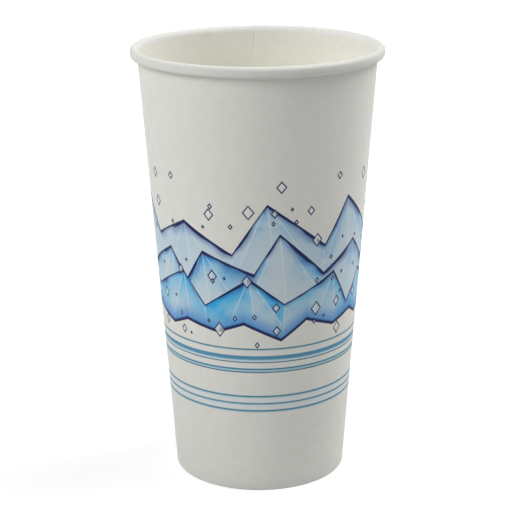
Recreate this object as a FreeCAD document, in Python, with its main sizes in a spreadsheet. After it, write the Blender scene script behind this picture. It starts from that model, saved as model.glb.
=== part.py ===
import FreeCAD, Part

import math
import os

import Sketcher
from FreeCAD import Placement, Rotation, Vector

# A tall paper cold cup in two pieces of coated board:
#   side_wall  one rolled blank, lapped and sealed at the back, its rim curled outward
#              and its lower edge folded inward and up into a hem
#   base_disc  one pressed disc, its skirt turned down and held inside that hem
# Millimetres, +Z up. The origin is on the cup's axis, in the plane that it stands on.
# The side seam is at the back, on +Y.

os.makedirs("parts", exist_ok=True)
doc = FreeCAD.newDocument("paper_cold_cup")

# ---------------------------------------------------------------- driving dimensions

DIMENSIONS = (
    ("rim_diameter", 90.0, "over the rolled rim, as a lid grips it"),
    ("cup_height", 157.3, "from the foot to the top of the rim"),
    ("base_diameter", 62.5, "where the wall's outer face, run on down, meets the foot plane"),
    ("wall_board", 0.4, "thickness of the wall's board"),
    ("base_board", 0.32, "thickness of the disc's board"),
    ("bead_height", 3.9, "height of the rolled rim"),
    ("bead_reach", 2.4, "from the wall's outer face out to the rim's widest line"),
    ("tuck_gap", 0.1, "between the curl's inner leg and the wall"),
    ("tuck_length", 1.0, "length of the curl's inner leg"),
    ("hem_clearance", 0.98, "from the hem's raw edge up to the underside of the floor"),
    ("fold_bend", 0.05, "inner radius of the two bends in the hem's fold"),
    ("seal_gap", 0.02, "melted coating between two boards"),
    ("skirt_gap", 0.45, "from the skirt's raw edge to the fold under it"),
    ("floor_level", 8.5, "from the foot plane to the top of the floor"),
    ("floor_bend", 0.6, "inner radius of the bend from floor to skirt"),
    ("lap_width", 8.0, "overlap of the side seam"),
    ("lap_ramp", 3.0, "length in which the outer ply steps back down to one board"),
    ("lap_start", 0.6, "from the foot plane to the lower end of the doubled stretch"),
    ("lap_end_gap", 0.1, "from the upper end of the doubled stretch to the rim"),
    ("cutter_margin", 1.0, "how far a solid that cuts or fuses runs on past its face"),
)
size = {alias: value for alias, value, meaning in DIMENSIONS}

sheet = doc.addObject("Spreadsheet::Sheet", "sizes")
for row, (alias, value, meaning) in enumerate(DIMENSIONS, start=1):
    sheet.set(f"A{row}", meaning)
    sheet.set(f"B{row}", str(value))
    sheet.setAlias(f"B{row}", alias)
doc.recompute()

# Sizes that follow from those above. Each number has the expression that says the same
# to the document: the number starts a sketch, and the expression keeps it up to date.

foot_radius = size["base_diameter"] / 2
FOOT_RADIUS = "sizes.base_diameter / 2"

crown_radius = size["rim_diameter"] / 2 - size["bead_reach"]
CROWN_RADIUS = "(sizes.rim_diameter / 2 - sizes.bead_reach)"

crown_level = size["cup_height"] - size["bead_height"] / 2
CROWN_LEVEL = "(sizes.cup_height - sizes.bead_height / 2)"

fold_radius = size["fold_bend"] + size["wall_board"]
FOLD_RADIUS = "sizes.fold_bend + sizes.wall_board"

hem_height = size["floor_level"] - size["base_board"] - size["hem_clearance"]
HEM_HEIGHT = "sizes.floor_level - sizes.base_board - sizes.hem_clearance"

fold_width = 2 * size["wall_board"] + size["base_board"] + 2 * size["seal_gap"]
FOLD_WIDTH = "2 * sizes.wall_board + sizes.base_board + 2 * sizes.seal_gap"

lap_top = size["cup_height"] - size["bead_height"] - size["lap_end_gap"]
LAP_TOP = "(sizes.cup_height - sizes.bead_height - sizes.lap_end_gap)"

RAMP_REACH = "sizes.lap_ramp + sizes.cutter_margin"

# The wall's outer face in section: a straight line that leans out by the slope.
slope = math.atan2(crown_radius - foot_radius, crown_level)
along_wall = Vector(math.sin(slope), math.cos(slope), 0)
out_of_wall = Vector(math.cos(slope), -math.sin(slope), 0)
wall_foot = Vector(foot_radius, 0, 0)
wall_crown = Vector(crown_radius, crown_level, 0)

# How a sketch names its own origin, its axes and the two ends of a curve.
ORIGIN = (-1, 1)
ACROSS = -1
UP = -2
START = 1
END = 2
CENTRE = 3

UPRIGHT = Rotation(Vector(1, 0, 0), 90)


def wall_radius(level):
    """Radius of the wall's outer face at a height above the foot plane."""
    return foot_radius + level * (crown_radius - foot_radius) / crown_level


def wall_radius_expression(level):
    """The same radius, as the document's expression."""
    return f"({FOOT_RADIUS} + {level} * ({CROWN_RADIUS} - {FOOT_RADIUS}) / {CROWN_LEVEL})"


# ------------------------------------------------------------------- sketch helpers


def new_sketch(name, rotation=Rotation()):
    """An empty sketch through the origin."""
    sketch = doc.addObject("Sketcher::SketchObject", name)
    sketch.Placement = Placement(Vector(0, 0, 0), rotation)
    return sketch


def line(sketch, start, end, construction=False):
    return sketch.addGeometry(Part.LineSegment(start, end), construction)


def arc(sketch, centre, radius, first_angle, last_angle):
    """An arc that runs anticlockwise from the first angle to the last, in radians."""
    circle = Part.Circle(centre, Vector(0, 0, 1), radius)
    return sketch.addGeometry(Part.ArcOfCircle(circle, first_angle, last_angle), False)


def circle(sketch, radius):
    """A construction circle round the sketch's origin."""
    shape = Part.Circle(Vector(0, 0, 0), Vector(0, 0, 1), radius)
    index = sketch.addGeometry(shape, True)
    tie(sketch, "Coincident", index, CENTRE, *ORIGIN)
    return index


def tie(sketch, kind, *where):
    """A constraint with no size of its own, such as Tangent or Parallel."""
    sketch.addConstraint(Sketcher.Constraint(kind, *where))


def measure(sketch, name, kind, where, value, expression):
    """A named dimension that follows the sheet."""
    index = sketch.addConstraint(Sketcher.Constraint(kind, *where, value))
    sketch.renameConstraint(index, name)
    sketch.setExpression(f"Constraints.{name}", expression)


def wall_datum(sketch):
    """A construction line along the wall's outer face, from the foot plane to the rim."""
    datum = line(sketch, wall_foot, wall_crown, construction=True)
    tie(sketch, "PointOnObject", datum, START, ACROSS)
    foot = (*ORIGIN, datum, START)
    crown = (*ORIGIN, datum, END)
    measure(sketch, "foot_radius", "DistanceX", foot, foot_radius, FOOT_RADIUS)
    measure(sketch, "crown_radius", "DistanceX", crown, crown_radius, CROWN_RADIUS)
    measure(sketch, "crown_level", "DistanceY", crown, crown_level, CROWN_LEVEL)
    return datum


def level_datum(sketch, name, level, expression):
    """A level construction line from the axis out to the rim's radius."""
    reach = size["rim_diameter"] / 2
    datum = line(sketch, Vector(0, level, 0), Vector(reach, level, 0), construction=True)
    tie(sketch, "Horizontal", datum)
    tie(sketch, "PointOnObject", datum, START, UP)
    end = (*ORIGIN, datum, END)
    measure(sketch, f"{name}_level", "DistanceY", end, level, expression)
    measure(sketch, f"{name}_reach", "DistanceX", end, reach, "sizes.rim_diameter / 2")
    return datum


# ------------------------------------------------------------------------ side wall


def side_wall_path():
    """The printed face of the wall's board in section, from the hem's raw edge down
    round the fold, up the wall and out round the curl to its tucked edge. The board
    lies all along its left-hand side."""
    board = size["wall_board"]
    rim_face = size["rim_diameter"] / 2 - board
    rim_top = size["cup_height"] - board
    rim_bottom = size["cup_height"] - size["bead_height"] + board
    tuck_offset = size["tuck_gap"] + board
    cosine = math.cos(slope)
    sine = math.sin(slope)

    # Both folds touch the foot plane: one touches the wall, the other the hem.
    outer_fold = Vector(foot_radius - fold_radius * (1 - sine) / cosine, fold_radius, 0)
    inner_fold_x = foot_radius - (fold_width - fold_radius * (1 + sine)) / cosine
    inner_fold = Vector(inner_fold_x, fold_radius, 0)

    # The curl's top arc touches the wall, the rim's top and its widest line. The
    # bottom arc touches that line, the rim's bottom and the tucked leg.
    room = (rim_face - foot_radius) * cosine
    top_radius = (room - rim_top * sine) / (1 + cosine - sine)
    top_curl = Vector(rim_face - top_radius, rim_top - top_radius, 0)
    low_radius = (room - rim_bottom * sine - tuck_offset) / (1 + cosine + sine)
    low_curl = Vector(rim_face - low_radius, rim_bottom + low_radius, 0)

    hem_low = inner_fold - out_of_wall * fold_radius
    hem_top = hem_low + along_wall * ((hem_height - hem_low.y) / along_wall.y)
    tuck_low = low_curl - out_of_wall * low_radius
    tuck_top = tuck_low + along_wall * size["tuck_length"]

    path = new_sketch("side_wall_path", UPRIGHT)
    inward = math.pi - slope
    hem = line(path, hem_top, hem_low)
    fold_in = arc(path, inner_fold, fold_radius, inward, 1.5 * math.pi)
    foot = line(path, Vector(inner_fold.x, 0, 0), Vector(outer_fold.x, 0, 0))
    fold_out = arc(path, outer_fold, fold_radius, -0.5 * math.pi, -slope)
    wall_low = outer_fold + out_of_wall * fold_radius
    wall_high = top_curl - out_of_wall * top_radius
    wall = line(path, wall_low, wall_high)
    curl_top = arc(path, top_curl, top_radius, 0, inward)
    face_high = Vector(rim_face, top_curl.y, 0)
    face_low = Vector(rim_face, low_curl.y, 0)
    face = line(path, face_high, face_low)
    curl_low = arc(path, low_curl, low_radius, inward, 2 * math.pi)
    tuck = line(path, tuck_low, tuck_top)

    for joint in (
        (hem, END, fold_in, START),
        (fold_in, END, foot, START),
        (foot, END, fold_out, START),
        (fold_out, END, wall, START),
        (wall, END, curl_top, END),
        (curl_top, START, face, START),
        (face, END, curl_low, END),
        (curl_low, START, tuck, START),
    ):
        tie(path, "Tangent", *joint)

    datum = wall_datum(path)
    tie(path, "PointOnObject", wall, START, datum)
    tie(path, "PointOnObject", wall, END, datum)
    tie(path, "Horizontal", foot)
    tie(path, "PointOnObject", foot, START, ACROSS)
    tie(path, "Parallel", hem, datum)
    tie(path, "Vertical", face)
    tie(path, "Parallel", tuck, datum)
    top = level_datum(path, "rim_top", rim_top, "sizes.cup_height - sizes.wall_board")
    bottom_level = "sizes.cup_height - sizes.bead_height + sizes.wall_board"
    bottom = level_datum(path, "rim_bottom", rim_bottom, bottom_level)
    tie(path, "Tangent", curl_top, top)
    tie(path, "Tangent", curl_low, bottom)

    for name, kind, where, value, expression in (
        ("fold_width", "Distance", (hem, START, datum), fold_width, FOLD_WIDTH),
        ("inner_fold", "Radius", (fold_in,), fold_radius, FOLD_RADIUS),
        ("outer_fold", "Radius", (fold_out,), fold_radius, FOLD_RADIUS),
        ("hem_height", "DistanceY", (*ORIGIN, hem, START), hem_height, HEM_HEIGHT),
        (
            "rim_face",
            "DistanceX",
            (*ORIGIN, face, START),
            rim_face,
            "sizes.rim_diameter / 2 - sizes.wall_board",
        ),
        (
            "tuck_offset",
            "Distance",
            (tuck, END, datum),
            tuck_offset,
            "sizes.tuck_gap + sizes.wall_board",
        ),
        ("tuck_length", "Distance", (tuck,), size["tuck_length"], "sizes.tuck_length"),
    ):
        measure(path, name, kind, where, value, expression)
    return path


def board_section(name, path, thickness):
    """The closed section of a board: its path thickened to the left by the sheet's size."""
    section = doc.addObject("Part::Offset2D", name)
    section.Source = path
    section.Mode = "Skin"
    section.Join = "Arc"
    section.Fill = True
    section.setExpression("Value", f"sizes.{thickness}")
    return section


def revolved(name, section):
    """The section turned once round the cup's axis."""
    solid = doc.addObject("Part::Revolution", name)
    solid.Source = section
    solid.Axis = Vector(0, 0, 1)
    solid.Base = Vector(0, 0, 0)
    solid.Angle = 360
    solid.Solid = True
    return solid


def run_out(sketch, slant, face):
    """Make a ramp's slanted line cross a face, a circle, where the ramp is to end."""
    ramp = size["lap_ramp"]
    radius = sketch.Geometry[face].Radius
    crossing = Vector(-ramp, math.sqrt(radius**2 - ramp**2), 0)
    point = sketch.addGeometry(Part.Point(crossing), True)
    tie(sketch, "PointOnObject", point, START, face)
    tie(sketch, "PointOnObject", point, START, slant)
    place = (point, START, *ORIGIN)
    measure(sketch, "ramp", "DistanceX", place, ramp, "sizes.lap_ramp")


def past_ramp(top, face):
    """Where a slanted line from a height on the middle plane, run on past the ramp's end
    on a face of the given radius, is a margin further out."""
    ramp = size["lap_ramp"]
    reach = ramp + size["cutter_margin"]
    fall = (top - math.sqrt(face**2 - ramp**2)) / ramp
    return Vector(-reach, top - fall * reach, 0)


def lap_ply_section(name, level, expression):
    """The outer ply over the seam at one level: a full board for the lap's width to the
    right of the middle plane, then a ramp back down into the wall. Its inner half is sunk
    in the wall so that the two fuse."""
    board = size["wall_board"]
    width = size["lap_width"]
    reach = size["lap_ramp"] + size["cutter_margin"]
    wall = wall_radius(level)
    wall_text = wall_radius_expression(expression)
    outer = wall + board
    inner = wall - board / 2

    ply = new_sketch(name)
    ply.Placement = Placement(Vector(0, 0, level), Rotation())
    ply.setExpression(".Placement.Base.z", expression)
    quarter = 0.5 * math.pi
    top_arc = arc(ply, Vector(), outer, quarter - math.asin(width / outer), quarter)
    ramp_end = past_ramp(outer, wall)
    ramp_root = Vector(-reach, math.sqrt(inner**2 - reach**2), 0)
    slant = line(ply, Vector(0, outer, 0), ramp_end)
    toe = line(ply, ramp_end, ramp_root)
    first = quarter - math.asin(width / inner)
    last = quarter + math.asin(reach / inner)
    root_arc = arc(ply, Vector(), inner, first, last)
    edge_root = Vector(width, math.sqrt(inner**2 - width**2), 0)
    edge_top = Vector(width, math.sqrt(outer**2 - width**2), 0)
    edge = line(ply, edge_root, edge_top)
    wall_circle = circle(ply, wall)

    for joint in (
        (top_arc, END, slant, START),
        (slant, END, toe, START),
        (toe, END, root_arc, END),
        (root_arc, START, edge, START),
        (edge, END, top_arc, START),
        (top_arc, CENTRE, *ORIGIN),
        (root_arc, CENTRE, *ORIGIN),
    ):
        tie(ply, "Coincident", *joint)
    tie(ply, "PointOnObject", top_arc, END, UP)
    tie(ply, "Vertical", toe)
    tie(ply, "Vertical", edge)
    outer_text = f"{wall_text} + sizes.wall_board"
    inner_text = f"{wall_text} - sizes.wall_board / 2"
    toe_place = (toe, START, *ORIGIN)
    edge_place = (*ORIGIN, edge, START)
    measure(ply, "outer_face", "Radius", (top_arc,), outer, outer_text)
    measure(ply, "root", "Radius", (root_arc,), inner, inner_text)
    measure(ply, "wall", "Radius", (wall_circle,), wall, wall_text)
    measure(ply, "width", "DistanceX", edge_place, width, "sizes.lap_width")
    measure(ply, "reach", "DistanceX", toe_place, reach, RAMP_REACH)
    run_out(ply, slant, wall_circle)
    return ply


def lap_step_section(name, level, expression):
    """What is cut from the wall's inner face at one level: a full board deep at the inner
    ply's raw edge, on the middle plane, and running out to nothing under the ramp."""
    reach = size["lap_ramp"] + size["cutter_margin"]
    wall = wall_radius(level)
    wall_text = wall_radius_expression(expression)
    inner = wall - size["wall_board"]
    clear = inner - size["cutter_margin"]

    step = new_sketch(name)
    step.Placement = Placement(Vector(0, 0, level), Rotation())
    step.setExpression(".Placement.Base.z", expression)
    corners = (
        Vector(0, wall, 0),
        past_ramp(wall, inner),
        Vector(-reach, clear, 0),
        Vector(0, clear, 0),
    )
    sides = []
    for index, corner in enumerate(corners):
        sides.append(line(step, corner, corners[(index + 1) % len(corners)]))
    for index, side in enumerate(sides):
        tie(step, "Coincident", side, END, sides[(index + 1) % len(sides)], START)
    slant, far, low, edge = sides
    inner_circle = circle(step, inner)
    tie(step, "PointOnObject", slant, START, UP)
    tie(step, "Vertical", far)
    tie(step, "Horizontal", low)
    tie(step, "Vertical", edge)
    inner_text = f"{wall_text} - sizes.wall_board"
    clear_text = f"{inner_text} - sizes.cutter_margin"
    top_place = (*ORIGIN, slant, START)
    clear_place = (*ORIGIN, low, END)
    far_place = (far, END, *ORIGIN)
    measure(step, "outer_face", "DistanceY", top_place, wall, wall_text)
    measure(step, "inner_face", "Radius", (inner_circle,), inner, inner_text)
    measure(step, "clear", "DistanceY", clear_place, clear, clear_text)
    measure(step, "reach", "DistanceX", far_place, reach, RAMP_REACH)
    run_out(step, slant, inner_circle)
    return step


def ruled_loft(name, low, high):
    """A solid whose sides are straight lines from one section to the other."""
    loft = doc.addObject("Part::Loft", name)
    loft.Sections = [low, high]
    loft.Solid = True
    loft.Ruled = True
    return loft


def make_side_wall():
    """The rolled, curled and hemmed wall, with its lapped seam."""
    section = board_section("side_wall_section", side_wall_path(), "wall_board")
    turned = revolved("side_wall_turned", section)

    ply = ruled_loft(
        "lap_ply",
        lap_ply_section("lap_ply_low", size["lap_start"], "sizes.lap_start"),
        lap_ply_section("lap_ply_high", lap_top, LAP_TOP),
    )
    doubled = doc.addObject("Part::Fuse", "side_wall_doubled")
    doubled.Base = turned
    doubled.Tool = ply

    step = ruled_loft(
        "lap_step",
        lap_step_section("lap_step_low", size["floor_level"], "sizes.floor_level"),
        lap_step_section("lap_step_high", lap_top, LAP_TOP),
    )
    wall = doc.addObject("Part::Cut", "side_wall")
    wall.Base = doubled
    wall.Tool = step
    wall.Label = "side_wall"
    return wall


# ------------------------------------------------------------------------ base disc


def base_disc_path():
    """The upper face of the disc's board in section, from the skirt's raw edge up along
    the wall and in over the floor to the axis. The board lies along its left-hand side."""
    bend = size["floor_bend"] + size["base_board"]
    offset = size["wall_board"] + size["seal_gap"]
    skirt_level = size["wall_board"] + size["skirt_gap"]
    cosine = math.cos(slope)
    sine = math.sin(slope)

    def on_skirt(level):
        radius = foot_radius + (level * sine - offset) / cosine
        return Vector(radius, level, 0)

    bend_y = size["floor_level"] - bend
    bend_x = foot_radius + (bend_y * sine - offset - bend) / cosine
    centre = Vector(bend_x, bend_y, 0)

    path = new_sketch("base_disc_path", UPRIGHT)
    skirt = line(path, on_skirt(skirt_level), centre + out_of_wall * bend)
    corner = arc(path, centre, bend, -slope, 0.5 * math.pi)
    floor_edge = Vector(centre.x, size["floor_level"], 0)
    floor = line(path, floor_edge, Vector(0, size["floor_level"], 0))
    tie(path, "Tangent", skirt, END, corner, START)
    tie(path, "Tangent", corner, END, floor, START)

    datum = wall_datum(path)
    tie(path, "Parallel", skirt, datum)
    tie(path, "Horizontal", floor)
    tie(path, "PointOnObject", floor, END, UP)
    for name, kind, where, value, expression in (
        (
            "skirt_offset",
            "Distance",
            (skirt, START, datum),
            offset,
            "sizes.wall_board + sizes.seal_gap",
        ),
        (
            "skirt_level",
            "DistanceY",
            (*ORIGIN, skirt, START),
            skirt_level,
            "sizes.wall_board + sizes.skirt_gap",
        ),
        ("bend", "Radius", (corner,), bend, "sizes.floor_bend + sizes.base_board"),
        (
            "floor_level",
            "DistanceY",
            (*ORIGIN, floor, END),
            size["floor_level"],
            "sizes.floor_level",
        ),
    ):
        measure(path, name, kind, where, value, expression)
    return path


def make_base_disc():
    """The pressed disc: a flat floor with its skirt turned down."""
    section = board_section("base_disc_section", base_disc_path(), "base_board")
    disc = revolved("base_disc", section)
    disc.Label = "base_disc"
    return disc


# --------------------------------------------------------------------------- output

pieces = (make_side_wall(), make_base_disc())
doc.recompute()

for thing in doc.Objects:
    if "Invalid" in thing.State or "Error" in thing.State:
        raise RuntimeError(f"{thing.Name} failed: {thing.State}")
    if thing.TypeId == "Sketcher::SketchObject" and thing.solve() != 0:
        raise RuntimeError(f"{thing.Name} has no solution")

for piece in pieces:
    shape = piece.Shape
    if shape.isNull() or not shape.isValid() or len(shape.Solids) != 1:
        raise RuntimeError(f"{piece.Label} isn't one valid solid")
    shape.exportStep(f"parts/{piece.Label}.step")
    box = shape.BoundBox
    print(
        piece.Label,
        f"{shape.Volume:.1f} mm3,",
        f"X {box.XMin:.3f} to {box.XMax:.3f},",
        f"Y {box.YMin:.3f} to {box.YMax:.3f},",
        f"Z {box.ZMin:.3f} to {box.ZMax:.3f}",
    )
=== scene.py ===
import math

import bmesh
import bpy
from mathutils import Matrix, Vector, noise


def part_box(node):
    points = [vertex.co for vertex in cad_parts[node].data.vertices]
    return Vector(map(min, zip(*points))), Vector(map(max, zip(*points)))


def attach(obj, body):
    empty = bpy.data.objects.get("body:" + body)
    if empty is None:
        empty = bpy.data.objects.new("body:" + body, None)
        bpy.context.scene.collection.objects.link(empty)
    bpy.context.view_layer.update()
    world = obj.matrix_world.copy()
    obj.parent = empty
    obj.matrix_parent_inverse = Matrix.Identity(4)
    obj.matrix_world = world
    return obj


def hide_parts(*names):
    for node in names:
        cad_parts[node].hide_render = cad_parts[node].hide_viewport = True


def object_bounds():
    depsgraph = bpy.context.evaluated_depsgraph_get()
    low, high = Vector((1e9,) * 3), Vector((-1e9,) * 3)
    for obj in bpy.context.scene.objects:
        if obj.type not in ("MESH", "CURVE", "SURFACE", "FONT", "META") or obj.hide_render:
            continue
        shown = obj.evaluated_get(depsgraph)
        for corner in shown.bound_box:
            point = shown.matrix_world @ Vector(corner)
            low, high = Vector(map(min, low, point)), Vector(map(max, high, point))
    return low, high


# The looks of a tall paper cold cup. Its two pieces of coated board are made again as
# the sheets that they are: each starts as the line of its face in section, is spun into
# a sheet round the axis, and then gets its board's thickness. Metres, +Z up, and the
# cup's front faces -Y.

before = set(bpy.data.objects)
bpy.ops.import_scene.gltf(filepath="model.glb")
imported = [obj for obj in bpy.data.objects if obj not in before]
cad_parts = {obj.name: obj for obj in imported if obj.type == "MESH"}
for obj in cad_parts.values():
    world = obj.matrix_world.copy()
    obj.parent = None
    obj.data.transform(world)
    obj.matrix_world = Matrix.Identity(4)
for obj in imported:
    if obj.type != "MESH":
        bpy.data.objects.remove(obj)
cad_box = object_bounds()

MM = 0.001
TURN = 2 * math.pi

# ------------------------------------------------------------------ sizes of the cup

RIM_RADIUS = cad_box[1].x
HEIGHT = cad_box[1].z
FLOOR_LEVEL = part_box("base_disc")[1].z
SKIRT_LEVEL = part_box("base_disc")[0].z

FOOT_RADIUS = 31.25 * MM
WALL_BOARD = 0.4 * MM
BASE_BOARD = 0.32 * MM
SEAL_GAP = 0.02 * MM

# The rolled rim: its height, how far it reaches beyond the wall, how much its outside is
# rounded, and its tucked end's gap to the wall and length.
BEAD_HEIGHT = 3.9 * MM
BEAD_REACH = 2.4 * MM
BEAD_ROUND = 0.3 * MM
TUCK_GAP = 0.1 * MM
TUCK_LENGTH = 1.0 * MM
# The wall flares into the curl over this many times the curl's radius.
CURL_REACH = 2.2

# The folded hem, and the ridges pressed into its inner side between two pairs of levels
# over which they rise and die away.
HEM_HEIGHT = 7.2 * MM
FOLD_RADIUS = 0.45 * MM
KNURL_RIDGES = 90
KNURL_HEIGHT = 0.11 * MM
KNURL_FOOT = (1.2 * MM, 2.2 * MM)
KNURL_TOP = (HEM_HEIGHT - 1.2 * MM, HEM_HEIGHT - 0.3 * MM)

# The lapped seam. Its press squeezes the inner ply, which gives way alone up to the
# first level and not at all from the second.
LAP_WIDTH = 8 * MM
LAP_RAMP = 7 * MM
LAP_PRESS = 0.2 * MM
LAP_FOOT = (0.5 * MM, 2.5 * MM)

# The inner ply's raw edge: the width of its crush where it shows sharply and where it is
# soft, its depth, and how much less deep it is where sharp. It turns sharp over the first
# two levels, and between the second two it has a painted shade: the strip along it takes
# the raw edge's darker material, which stands in for the shadow in the corner by the edge.
CRUSHED_EDGE = 0.16 * MM
SOFT_EDGE = 2 * MM
CRUSH_DEPTH = 0.17 * MM
SHARP_LOSS = 0.4
SHARP_LEVELS = (HEIGHT - 12 * MM, HEIGHT - 8 * MM)
EDGE_SHADE_LEVELS = (HEIGHT - 7.6 * MM, HEIGHT - 2.7 * MM)

# The wall's waves: their depth, their lengths round the cup and up it, and the levels
# over which they rise and die away.
WALL_WAVE = 0.1 * MM
WAVE_ACROSS = 14 * MM
WAVE_UP = 40 * MM
WAVE_FOOT = (11 * MM, 30 * MM)
WAVE_TOP = (HEIGHT - 16 * MM, HEIGHT - BEAD_HEIGHT)

# The base disc: its bend, the depth and length of its floor's waves, the sag under them
# as a share of that depth, and the margin over which they die away. Then the pleats that
# are gathered at the bend: how many, how deep and how long.
FLOOR_BEND = 0.92 * MM
FLOOR_WAVE = 0.12 * MM
FLOOR_WAVE_LENGTH = 17 * MM
FLOOR_SAG = 0.6
FLOOR_MARGIN = 4 * MM
PLEATS = 60
PLEAT_DEPTH = 0.07 * MM
PLEAT_LENGTH = 2.5 * MM

# The wall's outer face in section is a straight line that leans out by the slope.
CROWN_RADIUS = RIM_RADIUS - BEAD_REACH
CROWN_LEVEL = HEIGHT - BEAD_HEIGHT / 2
SLOPE = math.atan2(CROWN_RADIUS - FOOT_RADIUS, CROWN_LEVEL)
ALONG = Vector((math.sin(SLOPE), 0, math.cos(SLOPE)))
OUTWARD = Vector((math.cos(SLOPE), 0, -math.sin(SLOPE)))

# The print is laid out in metres round the wall at this height, and up it.
PRINT_LEVEL = 80 * MM
PRINT_RADIUS = FOOT_RADIUS + PRINT_LEVEL * math.tan(SLOPE)

# The material slots of the board's sides.
PRINTED_SIDE = 0
COATED_SIDE = 1
RAW_EDGE_AND_EDGE_SHADE = 2
PLAIN_SIDE = 0

# From this share of the way up the wall its rows of faces are closer.
CLOSER_ROWS = 0.93

# An edge that turns by more than this is shaded sharp.
SHARP_ANGLE = math.radians(40)

# ----------------------------------------------------------------------- mesh helpers


def arc_points(centre, radius, first, last, steps):
    """Points round an arc in the section, both ends included. Angles are in radians."""
    points = []
    for step in range(steps + 1):
        angle = first + (last - first) * step / steps
        points.append(centre + radius * Vector((math.cos(angle), 0, math.sin(angle))))
    return points


def line_points(start, end, steps):
    """Points along a straight line in the section, both ends left out."""
    return [start.lerp(end, step / steps) for step in range(1, steps)]


def smooth_step(low, high, value):
    """0 up to low, 1 from high on, and an S-shaped rise between them."""
    share = min(max((value - low) / (high - low), 0), 1)
    return share * share * (3 - 2 * share)


def finish_piece(name, mesh, node, materials):
    """Turn a bmesh into a piece that stands for a CAD node."""
    for edge in mesh.edges:
        if edge.is_manifold and edge.calc_face_angle() > SHARP_ANGLE:
            edge.smooth = False
    for face in mesh.faces:
        face.smooth = True
    data = bpy.data.meshes.new(name)
    mesh.to_mesh(data)
    mesh.free()
    for material in materials:
        data.materials.append(material)
    piece = bpy.data.objects.new(name, data)
    bpy.context.scene.collection.objects.link(piece)
    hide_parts(node)
    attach(piece, "root")


def thicken_board(mesh, board, sheet_face, other_face, raw_edge_and_shade):
    """Give a sheet its board's thickness, and each face the material slot of the side of
    the board that it is on. Gives the vertices of the board's other side."""
    sheet_faces = set(mesh.faces)
    sheet_verts = set(mesh.verts)
    bmesh.ops.solidify(mesh, geom=mesh.faces[:], thickness=board)
    for face in mesh.faces:
        if face in sheet_faces:
            face.material_index = sheet_face
        elif any(vert in sheet_verts for vert in face.verts):
            face.material_index = raw_edge_and_shade
        else:
            face.material_index = other_face
    return [vert for vert in mesh.verts if vert not in sheet_verts]


# -------------------------------------------------------------------------- side wall


def wall_path():
    """The printed face of the wall's board in section: from the hem's raw edge down
    round the fold, up the wall and out round the curl to its tucked edge."""
    cosine = math.cos(SLOPE)
    sine = math.sin(SLOPE)
    width = 2 * WALL_BOARD + BASE_BOARD + 2 * SEAL_GAP
    outer_x = FOOT_RADIUS - FOLD_RADIUS * (1 - sine) / cosine
    inner_x = FOOT_RADIUS - (width - FOLD_RADIUS * (1 + sine)) / cosine
    outer_fold = Vector((outer_x, 0, FOLD_RADIUS))
    inner_fold = Vector((inner_x, 0, FOLD_RADIUS))

    face = RIM_RADIUS - WALL_BOARD
    top = HEIGHT - WALL_BOARD
    bottom = HEIGHT - BEAD_HEIGHT + WALL_BOARD
    tuck = TUCK_GAP + WALL_BOARD
    room = (face - FOOT_RADIUS) * cosine
    top_radius = (room - top * sine) / (1 + cosine - sine)
    low_radius = (room - bottom * sine - tuck) / (1 + cosine + sine)
    top_curl = Vector((face - top_radius, 0, top - top_radius))
    low_curl = Vector((face - low_radius, 0, bottom + low_radius))

    inward = math.pi - SLOPE
    lean = 0.5 * math.pi - SLOPE
    flare = top_curl - ALONG * top_radius * (CURL_REACH - 1)
    hem_low = inner_fold - OUTWARD * FOLD_RADIUS
    hem_top = hem_low + ALONG * ((HEM_HEIGHT - hem_low.z) / ALONG.z)
    wall_low = outer_fold + OUTWARD * FOLD_RADIUS
    wall_high = flare - OUTWARD * top_radius
    near_rim = wall_low.lerp(wall_high, CLOSER_ROWS)
    tuck_low = low_curl - OUTWARD * low_radius
    tuck_top = tuck_low + ALONG * TUCK_LENGTH

    points = [hem_top]
    points += line_points(hem_top, hem_low, 6)
    points += arc_points(inner_fold, FOLD_RADIUS, inward, 1.5 * math.pi, 5)
    points += arc_points(outer_fold, FOLD_RADIUS, -0.5 * math.pi, -SLOPE, 5)
    points += line_points(wall_low, near_rim, 32)
    points.append(near_rim)
    points += line_points(near_rim, wall_high, 10)
    for step in range(10):
        angle = step / 10 * TURN / 4
        rise = ALONG * top_radius * CURL_REACH * math.sin(angle)
        points.append(flare - OUTWARD * top_radius * math.cos(angle) + rise)
    points += arc_points(top_curl, top_radius, lean, 0, 9)
    points += line_points(points[-1], Vector((face, 0, low_curl.z)), 3)
    points += arc_points(low_curl, low_radius, 0, inward - TURN, 10)
    points += line_points(tuck_low, tuck_top, 3)
    points.append(tuck_top)

    # The outside of the bead is a little round, not quite upright.
    for point in points:
        outside = smooth_step(CROWN_RADIUS, face, point.x)
        share = (point.z - CROWN_LEVEL) / (BEAD_HEIGHT / 2)
        point.x -= BEAD_ROUND * outside * share * share
    return points


def wall_spans():
    """Spans round the sheet, clockwise from its inner raw edge at the back: a full turn
    and then the lap. Each is its end angle and its steps, which are short where the
    board steps over the inner ply and where its edge is crushed."""
    ramp = LAP_RAMP / PRINT_RADIUS
    lap = LAP_WIDTH / PRINT_RADIUS
    edge = CRUSHED_EDGE / PRINT_RADIUS
    soft = SOFT_EDGE / PRINT_RADIUS
    return (
        (edge, 1),
        (soft, 6),
        (lap, 10),
        (lap + ramp, 8),
        (TURN - ramp, 400),
        (TURN, 10),
        (TURN + lap - edge, 12),
        (TURN + lap, 1),
    )


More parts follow.
